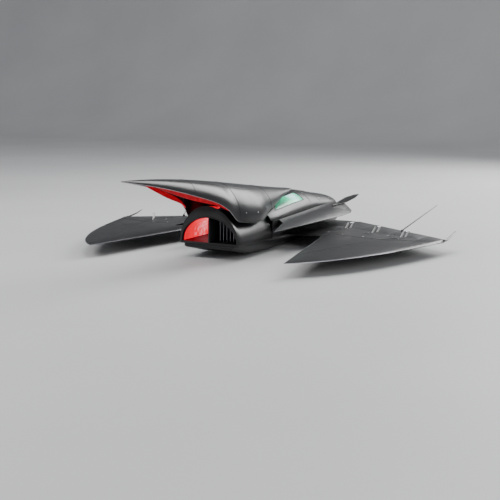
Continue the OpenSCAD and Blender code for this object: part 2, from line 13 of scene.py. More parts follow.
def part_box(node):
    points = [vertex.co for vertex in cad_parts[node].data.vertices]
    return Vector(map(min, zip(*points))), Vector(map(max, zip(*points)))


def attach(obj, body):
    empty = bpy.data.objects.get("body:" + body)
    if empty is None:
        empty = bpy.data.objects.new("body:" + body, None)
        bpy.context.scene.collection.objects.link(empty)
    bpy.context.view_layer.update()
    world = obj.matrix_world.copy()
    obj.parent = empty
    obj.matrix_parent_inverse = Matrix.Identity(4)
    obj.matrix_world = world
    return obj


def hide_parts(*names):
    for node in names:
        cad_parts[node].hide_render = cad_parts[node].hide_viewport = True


bl_info = {
    "name": "RC Flying Wing",
    "version": (1, 0, 0),
    "blender": (4, 5, 0),
    "location": "View3D > Sidebar > Flying Wing",
    "description": "Builds the looks of a twin-fan flying wing round its packed frame",
    "category": "Object",
}

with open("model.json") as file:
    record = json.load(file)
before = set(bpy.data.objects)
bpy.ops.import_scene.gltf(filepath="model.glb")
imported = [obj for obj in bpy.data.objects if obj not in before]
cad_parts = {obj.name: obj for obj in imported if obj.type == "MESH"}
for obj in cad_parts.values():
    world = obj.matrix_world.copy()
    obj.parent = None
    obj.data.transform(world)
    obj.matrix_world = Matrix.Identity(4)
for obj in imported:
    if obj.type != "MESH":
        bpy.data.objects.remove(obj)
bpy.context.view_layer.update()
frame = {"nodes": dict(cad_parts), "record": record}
RECORD = frame["record"]
BODY_OF = {n: body for body, nodes in RECORD["behaviour"]["bodies"].items() for n in nodes}
SLOT_OF = {part["node"]: part["material_slot"] for part in RECORD["subparts"]}
SIDES = {"port": 1, "starboard": -1}
SURFACES = ("flap", "elevon", "aileron")
MM = 0.001
DECK_SEAMS = (170, 238, 318)
WINDOW_SLANT_Y = 20
MOUTH_FLOOR = 42
MOUTH_HALF = 78
MOUTH_HEIGHT = 62
LIP_LEAN = 0.06
ROTOR_BLADES = 11
ROTOR_HUB = 11

# Hood profile from the beak (0) to the hinge (1): share of the greatest drop and of the greatest half width
HOOD_DROP = ((0, 0.01), (0.05, 0.07), (0.16, 0.19), (0.28, 0.355), (0.395, 0.54), (0.44, 0.69),
             (0.495, 0.99), (0.55, 1), (0.62, 0.94), (0.71, 0.68), (0.83, 0.41), (0.905, 0.215), (1, 0.035))
HOOD_WIDTH = ((0, 0.012), (0.05, 0.08), (0.16, 0.23), (0.28, 0.45), (0.395, 0.69), (0.49, 0.87),
              (0.55, 0.96), (0.62, 1), (0.665, 0.94), (0.71, 0.83), (0.83, 0.61), (0.905, 0.465), (1, 0.32))


def low(node):
    """Lowest corner of a CAD node in millimetres."""
    return Vector(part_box(node)[0]) / MM


def high(node):
    """Highest corner of a CAD node in millimetres."""
    return Vector(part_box(node)[1]) / MM


def joint_place(name):
    """Place of a joint in millimetres."""
    joint = next(j for j in RECORD["behaviour"]["joints"] if j["name"] == name)
    return Vector(joint["pos_m"]) / MM


BACK_WALL_Y = joint_place("port_fan_spin").y - 140


class WingSizes(bpy.types.PropertyGroup):
    """Sizes of the details, in millimetres."""

    bevel: bpy.props.FloatProperty(name="Edge rounding", description="Width of rounded shell edges",
                                   default=0.5, min=0.1, max=2)
    bead: bpy.props.FloatProperty(name="Rim bead", description="Radius of the bright bead on rims",
                                  default=0.9, min=0.4, max=2)
    seam: bpy.props.FloatProperty(name="Panel seam", description="Radius of the sunk panel seams",
                                  default=0.55, min=0.2, max=1)
    screw: bpy.props.FloatProperty(name="Screw head", description="Radius of the small screw heads",
                                   default=1.7, min=1, max=4)
    hood_wall: bpy.props.FloatProperty(name="Hood wall", description="Thickness of the hood",
                                       default=2.4, min=1, max=4)
    hood_drop: bpy.props.FloatProperty(name="Hood depth", description="Greatest drop from spine to rim",
                                       default=97, min=80, max=105)
    hood_steps: bpy.props.IntProperty(name="Hood steps", description="Rings along the hood",
                                      default=96, min=24, max=160)
    # strip_drop: hang of the strip of painted red glow under the hood rim, where the lamp lights the inside
    # of the hood
    strip_drop: bpy.props.FloatProperty(name="Painted glow strip", description="Hang of the red strip under the rim",
                                        default=10, min=2, max=20)


class WingColours(bpy.types.PropertyGroup):
    """Colours of paint, lamps and painted lamp glow."""

    shell: bpy.props.FloatVectorProperty(name="Shell", description="Satin black of the airframe",
                                         subtype="COLOR", size=4, default=(0.006, 0.006, 0.0068, 1))
    hood: bpy.props.FloatVectorProperty(name="Hood", description="Graphite of the hood and strakes",
                                        subtype="COLOR", size=4, default=(0.011, 0.011, 0.0122, 1))
    # The red also paints the lamps' light as glow on the intake walls and under the hood rims
    red: bpy.props.FloatVectorProperty(name="Red lamps and painted glow", description="Glow in the intake and beak",
                                       subtype="COLOR", size=4, default=(0.9, 0.004, 0.02, 1))
    green: bpy.props.FloatVectorProperty(name="Green lamp", description="Glow of the port window",
                                         subtype="COLOR", size=4, default=(0.006, 0.55, 0.27, 1))


def sizes():
    return bpy.context.scene.wing_sizes


def colours():
    return bpy.context.scene.wing_colours


# ---------------------------------------------------------------- mesh tools

class Piece:
    """Collects faces in millimetres and becomes one object that rides on a body."""

    def __init__(self, name, body, slot):
        self.name = name
        self.body = body
        self.slot = slot
        self.points = []
        self.faces = []

    def add(self, points, faces):
        start = len(self.points)
        self.points += [Vector(p) for p in points]
        self.faces += [tuple(start + i for i in face) for face in faces]

    def loft(self, rings, caps=True, closed=True):
        """Joins rings of equal count."""
        n = len(rings[0])
        last = n if closed else n - 1
        faces = []
        for i in range(len(rings) - 1):
            for j in range(last):
                a = i * n + j
                b = i * n + (j + 1) % n
                faces.append((a, b, b + n, a + n))
        if caps:
            end = (len(rings) - 1) * n
            faces.append(tuple(range(n - 1, -1, -1)))
            faces.append(tuple(end + j for j in range(n)))
        self.add([p for ring in rings for p in ring], faces)

    def tube(self, path, radius, sides=8):
        """A round bead along a path, tapering where radius is a list."""
        path = [Vector(p) for p in path]
        radii = radius if isinstance(radius, (list, tuple)) else [radius] * len(path)
        rings = []
        side = None
        for i, place in enumerate(path):
            way = (path[min(i + 1, len(path) - 1)] - path[max(i - 1, 0)]).normalized()
            if side is None:
                side = way.orthogonal().normalized()
            side = (side - way * side.dot(way)).normalized()
            other = way.cross(side)
            turns = [2 * math.pi * k / sides for k in range(sides)]
            rings.append([place + (side * math.cos(a) + other * math.sin(a)) * radii[i] for a in turns])
        self.loft(rings)

    def slab(self, centre, size, turn=None, round_by=0.6):
        """A block with chamfered upright edges and a stepped-in top."""
        turn = turn or Matrix.Identity(3)
        half = Vector(size) / 2
        cut = min(round_by, half.x * 0.6, half.y * 0.6)
        plan = [(half.x - cut, half.y), (-half.x + cut, half.y), (-half.x, half.y - cut),
                (-half.x, -half.y + cut), (-half.x + cut, -half.y), (half.x - cut, -half.y),
                (half.x, -half.y + cut), (half.x, half.y - cut)]
        rim = min(cut, half.z * 0.8)
        levels = ((-half.z, 1 - rim / max(half.x, half.y)), (-half.z + rim, 1), (half.z - rim, 1),
                  (half.z, 1 - rim / max(half.x, half.y)))
        rings = [[Vector(centre) + turn @ Vector((x * k, y * k, z)) for x, y in plan] for z, k in levels]
        self.loft(rings)

    def screw(self, place, normal, radius):
        """A domed head with a sunk six-sided socket."""
        turn = Vector(normal).to_track_quat("Z", "Y").to_matrix()
        profile = ((1, -0.3, 24), (1, 0.12, 24), (0.86, 0.36, 24), (0.56, 0.5, 24))
        rings = []
        for share, rise, count in profile:
            rings.append([Vector(place) + turn @ Vector((radius * share * math.cos(2 * math.pi * k / count),
                                                         radius * share * math.sin(2 * math.pi * k / count),
                                                         radius * rise)) for k in range(count)])
        for share, rise in ((0.46, 0.48), (0.44, 0.05)):
            ring = []
            for k in range(24):
                angle = 2 * math.pi * k / 24
                flat = math.cos(math.pi / 6) / math.cos((angle % (math.pi / 3)) - math.pi / 6)
                ring.append(Vector(place) + turn @ Vector((radius * share * flat * math.cos(angle),
                                                           radius * share * flat * math.sin(angle),
                                                           radius * rise)))
            rings.append(ring)
        self.loft(rings)

    def make(self, material=None, angle=35, bevel=0, replaces=()):
        """Builds the object, welds it, and sets it riding."""
        mesh = bpy.data.meshes.new(self.name)
        mesh.from_pydata([p * MM for p in self.points], [], self.faces)
        work = bmesh.new()
        work.from_mesh(mesh)
        bmesh.ops.remove_doubles(work, verts=work.verts, dist=1e-6)
        bmesh.ops.recalc_face_normals(work, faces=work.faces)
        work.to_mesh(mesh)
        work.free()
        return settle(mesh, self.name, self.body, self.slot, material, angle, bevel, replaces)


def settle(mesh, name, body, slot, material=None, angle=35, bevel=0, replaces=()):
    """Turns a mesh into a finished piece: rounded edges, smooth shading, material and body."""
    mesh.materials.clear()
    mesh.materials.append(material or finish(slot))
    obj = bpy.data.objects.new(name, mesh)
    bpy.context.collection.objects.link(obj)
    if bevel:
        rounding = obj.modifiers.new("rounded edges", "BEVEL")
        rounding.width = bevel * MM
        rounding.segments = 2
        rounding.limit_method = "ANGLE"
        rounding.angle_limit = math.radians(angle)
        bpy.context.view_layer.update()
        rounded = bpy.data.meshes.new_from_object(obj.evaluated_get(bpy.context.evaluated_depsgraph_get()))
        obj.modifiers.clear()
        obj.data = rounded
    obj.data.shade_smooth()
    obj.data.set_sharp_from_angle(angle=math.radians(angle))
    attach(obj, body)
    if replaces:
        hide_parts(*replaces)
    return obj


def smoothed(node, bevel=None, angle=28, material=None):
    """A finished copy of a CAD node: welded, flat faces joined, edges rounded, curves shaded smooth."""
    source = frame["nodes"][node].data
    work = bmesh.new()
    work.from_mesh(source)
    bmesh.ops.remove_doubles(work, verts=work.verts, dist=2e-6)
    bmesh.ops.dissolve_limit(work, angle_limit=math.radians(0.6), verts=work.verts, edges=work.edges)
    mesh = bpy.data.meshes.new(node + ".finished")
    work.to_mesh(mesh)
    work.free()
    if "custom_normal" in mesh.attributes:
        mesh.attributes.remove(mesh.attributes["custom_normal"])
    return settle(mesh, node + ".finished", BODY_OF[node], SLOT_OF[node], material, angle,
                  sizes().bevel if bevel is None else bevel, (node,))


def tree(node):
    """Search tree over a CAD node, for laying details on its surface."""
    mesh = frame["nodes"][node].data
    return BVHTree.FromPolygons([v.co / MM for v in mesh.vertices], [p.vertices[:] for p in mesh.polygons])


def laid(search, x, y, above=400, lift=0.0):
    """Point and normal where a plumb line at x, y meets the surface from above."""
    place, normal = search.ray_cast(Vector((x, y, above)), Vector((0, 0, -1)))[:2]
    if place is None:
        return None
    if normal.z < 0:
        normal = -normal
    return place + normal * lift, normal


def line_on(search, start, end, steps, lift=0.0):
    """Points along a straight plan line, laid on the surface."""
    path = []
    for k in range(steps + 1):
        t = k / steps
        x = start[0] + (end[0] - start[0]) * t
        y = start[1] + (end[1] - start[1]) * t
        found = laid(search, x, y, lift=lift)
        if found:
            path.append(found[0])
    return path


def eased(table, t):
    """Smooth monotone curve through a table of (place, value)."""
    spots = [p[0] for p in table]
    values = [p[1] for p in table]
    slopes = [(values[i + 1] - values[i]) / (spots[i + 1] - spots[i]) for i in range(len(table) - 1)]
    i = max(0, min(len(slopes) - 1, next((k for k, s in enumerate(spots[1:]) if t <= s), len(slopes) - 1)))

    def tangent(k):
        if k == 0 or k == len(slopes):
            return slopes[0] if k == 0 else slopes[-1]
        a, b = slopes[k - 1], slopes[k]
        return 0 if a * b <= 0 else 2 * a * b / (a + b)

    h = spots[i + 1] - spots[i]
    s = (t - spots[i]) / h
    return ((2 * s ** 3 - 3 * s ** 2 + 1) * values[i] + (s ** 3 - 2 * s ** 2 + s) * h * tangent(i)
            + (3 * s ** 2 - 2 * s ** 3) * values[i + 1] + (s ** 3 - s ** 2) * h * tangent(i + 1))


# ---------------------------------------------------------------- shader node groups

def group(name, inputs, outputs):
    """An empty node group with float or colour sockets."""
    tree_ = bpy.data.node_groups.new(name, "ShaderNodeTree")
    for title, default in inputs:
        socket = tree_.interface.new_socket(title, in_out="INPUT", socket_type="NodeSocketFloat")
        socket.default_value = default
    for title in outputs:
        tree_.interface.new_socket(title, in_out="OUTPUT", socket_type="NodeSocketFloat")
    return tree_, tree_.nodes.new("NodeGroupInput"), tree_.nodes.new("NodeGroupOutput")


def node(tree_, kind, **values):
    made = tree_.nodes.new("ShaderNode" + kind)
    for key, value in values.items():
        setattr(made, key, value)
    return made


def math_node(tree_, operation, a, b=None, clamp=False):
    made = node(tree_, "Math", operation=operation, use_clamp=clamp)
    for socket, value in zip(made.inputs, (a, b)):
        if value is None:
            continue
        if isinstance(value, (int, float)):
            socket.default_value = value
        else:
            tree_.links.new(value, socket)
    return made.outputs[0]


def ranged(tree_, value, a, b, c=0, d=1):
    made = node(tree_, "MapRange")
    tree_.links.new(value, made.inputs["Value"])
    for key, number in (("From Min", a), ("From Max", b), ("To Min", c), ("To Max", d)):
        made.inputs[key].default_value = number
    return made.outputs["Result"]


def noise(tree_, vector, scale, detail=4):
    made = node(tree_, "TexNoise")
    made.inputs["Detail"].default_value = detail
    tree_.links.new(vector, made.inputs["Vector"])
    if isinstance(scale, (int, float)):
        made.inputs["Scale"].default_value = scale
    else:
        tree_.links.new(scale, made.inputs["Scale"])
    return made.outputs["Fac"]


def paint_grain():
    """Fine orange-peel grain: height, and slow mottling of the sheen."""
    made, source, sink = group("Paint grain", (("Scale", 900), ("Mottle", 9)), ("Height", "Mottle"))
    place = node(made, "TexCoord").outputs["Object"]
    fine = noise(made, place, source.outputs["Scale"], 3)
    wide = noise(made, place, source.outputs["Mottle"], 5)
    made.links.new(fine, sink.inputs["Height"])
    made.links.new(ranged(made, wide, 0.3, 0.7), sink.inputs["Mottle"])
    return made


def edge_wear():
    """Bright worn spots where the surface turns sharply, broken up by noise."""
    made, source, sink = group("Edge wear", (("Amount", 0.5), ("Scale", 60)), ("Mask",))
    edge = ranged(made, node(made, "NewGeometry").outputs["Pointiness"], 0.57, 0.7)
    place = node(made, "TexCoord").outputs["Object"]
    broken = ranged(made, noise(made, place, source.outputs["Scale"], 6), 0.42, 0.62)
    mask = math_node(made, "MULTIPLY", edge, broken)
    made.links.new(math_node(made, "MULTIPLY", mask, source.outputs["Amount"], True), sink.inputs["Mask"])
    return made


def light_dust():
    """Settled dust on faces that look up."""
    made, source, sink = group("Light dust", (("Amount", 0.3), ("Scale", 40)), ("Mask",))
    parts = node(made, "SeparateXYZ")
    made.links.new(node(made, "NewGeometry").outputs["Normal"], parts.inputs[0])
    up = ranged(made, parts.outputs["Z"], 0.5, 1)
    place = node(made, "TexCoord").outputs["Object"]
    patch = ranged(made, noise(made, place, source.outputs["Scale"], 8), 0.45, 0.8)
    mask = math_node(made, "MULTIPLY", up, patch)
    made.links.new(math_node(made, "MULTIPLY", mask, source.outputs["Amount"], True), sink.inputs["Mask"])
    return made


def twill_weave():
    """Two-by-two twill of woven tows: height, and which way a tow runs."""
    made, source, sink = group("Twill weave", (("Tows per metre", 500),), ("Height", "Tow"))
    parts = node(made, "SeparateXYZ")
    made.links.new(node(made, "TexCoord").outputs["Object"], parts.inputs[0])
    across = math_node(made, "ADD", parts.outputs["X"], parts.outputs["Z"])
    u = math_node(made, "MULTIPLY", across, source.outputs["Tows per metre"])
    v = math_node(made, "MULTIPLY", parts.outputs["Y"], source.outputs["Tows per metre"])
    step = math_node(made, "ADD", math_node(made, "FLOOR", u), math_node(made, "FLOOR", v))
    phase = math_node(made, "FRACT", math_node(made, "MULTIPLY", step, 0.25))
    tow = math_node(made, "LESS_THAN", phase, 0.45)
    wave_u = math_node(made, "ABSOLUTE", math_node(made, "SINE", math_node(made, "MULTIPLY", u, math.pi)))
    wave_v = math_node(made, "ABSOLUTE", math_node(made, "SINE", math_node(made, "MULTIPLY", v, math.pi)))
    made.links.new(math_node(made, "MULTIPLY", wave_u, wave_v), sink.inputs["Height"])
    made.links.new(tow, sink.inputs["Tow"])
    return made


GROUPS = {}
BUILDERS = {"grain": paint_grain, "wear": edge_wear, "dust": light_dust, "twill": twill_weave}


def placed(material, kind, **values):
    """Places one of the shared groups in a material with its own values."""
    if kind not in GROUPS:
        GROUPS[kind] = BUILDERS[kind]()
    made = material.node_tree.nodes.new("ShaderNodeGroup")
    made.node_tree = GROUPS[kind]
    for key, value in values.items():
        made.inputs[key.replace("_", " ")].default_value = value
    return made


# ---------------------------------------------------------------- materials

def blank(name, roughness, metallic=0.0, coat=0.0, coat_roughness=0.1):
    material = bpy.data.materials.new(name)
    material.use_nodes = True
    shader = material.node_tree.nodes["Principled BSDF"]
    shader.inputs["Roughness"].default_value = roughness
    shader.inputs["Metallic"].default_value = metallic
    shader.inputs["Coat Weight"].default_value = coat
    shader.inputs["Coat Roughness"].default_value = coat_roughness
    shader.inputs["Specular IOR Level"].default_value = 0.4
    return material, material.node_tree, shader


def colour_mix(tree_, factor, first, second):
    made = node(tree_, "Mix", data_type="RGBA")
    tree_.links.new(factor, made.inputs["Factor"])
    for socket, value in ((made.inputs["A"], first), (made.inputs["B"], second)):
        if hasattr(value, "is_linked"):
            tree_.links.new(value, socket)
        else:
            socket.default_value = value
    return made.outputs["Result"]


def lift_by(tree_, shader, height, strength, distance):
    bump = node(tree_, "Bump")
    bump.inputs["Strength"].default_value = strength
    bump.inputs["Distance"].default_value = distance * MM
    tree_.links.new(height, bump.inputs["Height"])
    tree_.links.new(bump.outputs["Normal"], shader.inputs["Normal"])


def painted(name, base, roughness, wear=0.6, dust=0.25, coat=0.3, grain=900, bump=0.12, metallic=0.0):
    """Sprayed or moulded finish with grain, mottled sheen, worn edges and dust."""
    material, tree_, shader = blank(name, roughness, metallic, coat, 0.22)
    fine = placed(material, "grain", Scale=grain, Mottle=14)
    edges = placed(material, "wear", Amount=wear, Scale=90)
    dusty = placed(material, "dust", Amount=dust, Scale=55)
    lighter = tuple(min(1, c * 1.25 + 0.001) for c in base[:3]) + (1,)
    worn = tuple(min(1, c * 2 + 0.05) for c in base[:3]) + (1,)
    tone = colour_mix(tree_, fine.outputs["Mottle"], tuple(base[:3]) + (1,), lighter)
    tone = colour_mix(tree_, edges.outputs["Mask"], tone, worn)
    tone = colour_mix(tree_, dusty.outputs["Mask"], tone, (0.16, 0.155, 0.145, 1))
    tree_.links.new(tone, shader.inputs["Base Color"])
    sheen = ranged(tree_, fine.outputs["Mottle"], 0, 1, roughness - 0.02, roughness + 0.03)
    tree_.links.new(math_node(tree_, "ADD", sheen, dusty.outputs["Mask"], True), shader.inputs["Roughness"])
    lift_by(tree_, shader, fine.outputs["Height"], bump, 0.3)
    return material


def woven(name, dark, light, tows, roughness, coat, distance=0.15):
    """Woven tows under resin, or webbing where the coat is nil."""
    material, tree_, shader = blank(name, roughness, 0.0, coat, 0.12)
    weave = placed(material, "twill", Tows_per_metre=tows)
    fine = placed(material, "grain", Scale=700, Mottle=20)
    tone = colour_mix(tree_, weave.outputs["Tow"], dark, light)
    tone = colour_mix(tree_, ranged(tree_, fine.outputs["Mottle"], 0, 1, 0, 0.4), tone, dark)
    tree_.links.new(tone, shader.inputs["Base Color"])
    rough = ranged(tree_, weave.outputs["Tow"], 0, 1, roughness - 0.08, roughness + 0.1)
    tree_.links.new(rough, shader.inputs["Roughness"])
    lift_by(tree_, shader, weave.outputs["Height"], 0.5, distance)
    return material


def metal(name, base, roughness, stretch=(1, 40, 1)):
    """Drawn or turned metal with fine streaks."""
    material, tree_, shader = blank(name, roughness, 1.0)
    mapping = node(tree_, "Mapping")
    mapping.inputs["Scale"].default_value = stretch
    tree_.links.new(node(tree_, "TexCoord").outputs["Object"], mapping.inputs["Vector"])
    streak = noise(tree_, mapping.outputs["Vector"], 120, 6)
    dark = tuple(c * 0.7 for c in base) + (1,)
    tree_.links.new(colour_mix(tree_, ranged(tree_, streak, 0.35, 0.65), dark, tuple(base) + (1,)),
                    shader.inputs["Base Color"])
    tree_.links.new(ranged(tree_, streak, 0.3, 0.7, roughness - 0.06, roughness + 0.1),
                    shader.inputs["Roughness"])
    lift_by(tree_, shader, streak, 0.06, 0.1)
    return material


def glowing(name, colour, core, centre, reach, strength):
    """Emission falling from a core to the rim: a tinted lens lit from one spot behind it, and on surfaces
    that are no lamp a painted pool of the lamp's red light.
    """
    material, tree_, shader = blank(name, 0.3, 0.0, 0.15, 0.1)
    place = node(tree_, "VectorMath", operation="DISTANCE")
    tree_.links.new(node(tree_, "TexCoord").outputs["Object"], place.inputs[0])
    place.inputs[1].default_value = tuple(c * MM for c in centre)
    fade = ranged(tree_, place.outputs["Value"], 0.0, reach * MM, 0, 1)
    cloud = noise(tree_, node(tree_, "TexCoord").outputs["Object"], 140, 5)
    speck = ranged(tree_, cloud, 0.3, 0.7, -0.12, 0.12)
    spot = math_node(tree_, "ADD", fade, speck, True)
    ramp = node(tree_, "ValToRGB")
    tree_.links.new(spot, ramp.inputs["Fac"])
    ramp.color_ramp.elements[0].color = tuple(core) + (1,)
    ramp.color_ramp.elements[0].position = 0.12
    ramp.color_ramp.elements[1].color = tuple(c * 0.22 for c in colour[:3]) + (1,)
    middle = ramp.color_ramp.elements.new(0.4)
    middle.color = tuple(colour[:3]) + (1,)
    tree_.links.new(ramp.outputs["Color"], shader.inputs["Emission Color"])
    shader.inputs["Base Color"].default_value = tuple(c * 0.04 for c in colour[:3]) + (1,)
    shader.inputs["Emission Strength"].default_value = strength
    return material


FINISHES = {}


def finish(slot):
    """The material of a record slot, made once."""
    if slot not in FINISHES:
        FINISHES[slot] = MAKERS[slot]()
    return FINISHES[slot]


MAKERS = {
    "shell_black": lambda: painted("satin black shell", colours().shell, 0.36, 0.4, 0.06, 0.12),
    "hood_graphite": lambda: painted("graphite hood paint", colours().hood, 0.33, 0.4, 0.04, 0.2,
                                     1100, 0.08),
    "carbon": lambda: woven("carbon twill", (0.012, 0.012, 0.014, 1), (0.045, 0.045, 0.05, 1), 420, 0.3, 0.6),
    "nylon_white": lambda: painted("natural nylon", (0.62, 0.62, 0.6), 0.42, 0.1, 0.1, 0, 1500, 0.1),
    "steel": lambda: metal("drawn steel", (0.62, 0.62, 0.64), 0.24),
    "motor_metal": lambda: metal("turned aluminium", (0.45, 0.45, 0.5), 0.3, (40, 1, 40)),
    "rotor_black": lambda: painted("glass-filled nylon", (0.09, 0.095, 0.1), 0.32, 0.8, 0.1, 0.3, 2000, 0.1),
    "servo_plastic": lambda: painted("servo case", (0.03, 0.03, 0.035), 0.4, 0.3, 0.2, 0.1, 1400, 0.1),
    "battery_wrap": lambda: painted("battery wrap", (0.02, 0.03, 0.09), 0.28, 0.3, 0.2, 0.6, 300, 0.2),
    "strap_webbing": lambda: woven("strap webbing", (0.012, 0.012, 0.013, 1), (0.05, 0.05, 0.055, 1),
                                   900, 0.75, 0, 0.35),
    "board_green": lambda: painted("solder mask", (0.008, 0.09, 0.035), 0.24, 0.2, 0.1, 0.5, 2600, 0.15),
    "heat_shrink": lambda: painted("heat shrink", (0.01, 0.01, 0.05), 0.42, 0.2, 0.1, 0.2, 500, 0.2),
    # lamp_red: the lamps, and the lamps' red light painted as glow on the intake liner and the strip under
    # each hood rim
    "lamp_red": lambda: glowing("red lamp and painted red glow", colours().red, (1, 0.55, 0.6), (-14, -190, 52), 170, 1.6),
    "lens_green": lambda: glowing("green window", colours().green, (0.55, 1, 0.95), (44, 104, 126), 85, 2.0),
    "lens_red": lambda: glowing("red window", colours().red, (1, 0.5, 0.5), (-44, 104, 126), 85, 2.0),
    "skid_plate": lambda: painted("scuffed skid plate", (0.02, 0.02, 0.02), 0.55, 1, 0.5, 0, 420, 0.4),
}


# ---------------------------------------------------------------- hood

BEAK = low("nose_hood").y
PIN = joint_place("hood_lift")
HOOD_AFT = Vector((0, PIN.y - 10, PIN.z + 8.5))
BEAK_Z = 222
SPINE_BULGE = 67
HOOD_HALF_W = high("nose_hood").x


def hood_spine(t):
    """Point on the hood's crown, from beak (0) to hinge (1)."""
    z = BEAK_Z + (HOOD_AFT.z - BEAK_Z) * t + SPINE_BULGE * t * (1 - t) ** 2
    return Vector((0, BEAK + (HOOD_AFT.y - BEAK) * t, z))


def hood_point(t, angle, inset=0.0):
    """Point on the hood's arch, or inside it by an inset."""
    crown = hood_spine(t)
    half = HOOD_HALF_W * eased(HOOD_WIDTH, t)
    drop = sizes().hood_drop * eased(HOOD_DROP, t)
    wide = max(half - inset, 0.4 * half)
    rise = max(drop - inset, 0.4 * drop)
    return Vector((wide * math.cos(angle), crown.y, crown.z - drop + rise * math.sin(angle)))


def hood_steps(start=0.0, end=1.0, count=None):
    count = count or sizes().hood_steps
    return [start + (end - start) * k / count for k in range(count + 1)]


class WING_OT_hood(bpy.types.Operator):
    """Build the beaked hood with its rim beads, seams, lug, ribs and a strip of painted red glow under each
    rim
    """

    bl_idname = "flying_wing.hood"
    bl_label = "Hood"

    def execute(self, context):
        own = sizes()
        arcs = [math.pi * k / 48 for k in range(49)]
        skin = Piece("nose_hood.skin", "hood", "hood_graphite")
        rings = []
        for t in hood_steps():
            inner = [hood_point(t, a, own.hood_wall) for a in reversed(arcs)]
            rings.append([hood_point(t, a) for a in arcs] + inner)
        skin.loft(rings, caps=False)
        n = len(arcs)
        for first in (0, len(rings) - 1):
            ring = rings[first]
            skin.add(ring, [(k, k + 1, 2 * n - 2 - k, 2 * n - 1 - k) for k in range(n - 1)])
        skin.make(angle=40, replaces=("nose_hood",))

        lug = Piece("nose_hood.lug", "hood", "hood_graphite")
        root = hood_spine(1 - 34 / (HOOD_AFT.y - BEAK))
        outline = [(root.y, PIN.z + 2), (PIN.y - 2, PIN.z - 4.4)]
        outline += [(PIN.y + 4.4 * math.sin(a), PIN.z - 4.4 * math.cos(a))
                    for a in [math.pi * k / 12 for k in range(13)]]
        outline += [(HOOD_AFT.y - 1, HOOD_AFT.z - 1.2), (root.y, root.z - 1.4)]
        lug.loft([[(x, y, z) for y, z in outline] for x in (-6, 6)])
        lug.make(angle=30, bevel=0.6)

        beads = Piece("nose_hood.rim_bead", "hood", "steel")
        for angle in (0, math.pi):
            path = [hood_point(t, angle, own.hood_wall / 2) for t in hood_steps(0.004, 0.998, 150)]
            beads.tube(path, own.bead, 10)
        beads.make()

        seams = Piece("nose_hood.seams", "hood", "skid_plate")
        for angle in (math.radians(58), math.radians(122)):
            seams.tube([hood_point(t, angle) for t in hood_steps(0.2, 0.985, 110)], own.seam)
        for t in (0.3, 0.5, 0.74):
            seams.tube([hood_point(t, a) for a in [math.pi * k / 60 for k in range(1, 60)]], own.seam)
        seams.make()

        ribs = Piece("nose_hood.ribs", "hood", "carbon")
        for t in (0.24, 0.42, 0.78, 0.9):
            near, far = [hood_point(t, a, own.hood_wall - 0.3) for a in arcs], []
            for a in arcs:
                far.append(hood_point(t, a, own.hood_wall + 2.6))
            back = Vector((0, 3, 0))
            ring = [[p, q, q + back, p + back] for p, q in zip(near, far)]
            ribs.loft(ring)
        ribs.make(angle=30)

        # Painted light: a glowing red strip hangs under each rim, standing in for the lamp's red light on the
        # inside of the hood
        strip = Piece("nose_hood.painted_glow_strip", "hood", "lamp_red")
        for side in SIDES.values():
            angle = 0 if side > 0 else math.pi
            rings = []
            for t in hood_steps(0.14, 0.445, 60):
                hang = 0.4 + own.strip_drop * math.sin(math.pi * (t - 0.14) / 0.305) ** 0.8
                top = hood_point(t, angle, own.hood_wall + 0.4)
                shift = Vector((-1.6 * side, 0, 0))
                fall = Vector((-0.35 * hang * side, 0, -hang))
                rings.append([top + Vector((0, 0, 3)), top + shift + Vector((0, 0, 3)),
                              top + fall + shift, top + fall])
            strip.loft(rings)
        strip.make(angle=60)

        fixings = Piece("nose_hood.screws", "hood", "steel")
        for t in (0.53, 0.6, 0.68):
            for angle in (math.radians(14), math.radians(166)):
                place = hood_point(t, angle)
                ahead = hood_point(t + 0.004, angle) - place
                along = hood_point(t, angle + 0.02) - place
                normal = ahead.cross(along)
                if normal.x * place.x < 0:
                    normal = -normal
                fixings.screw(place, normal, own.screw)
        fixings.make(angle=30)
        return {"FINISHED"}


# ---------------------------------------------------------------- hull, deck and intake

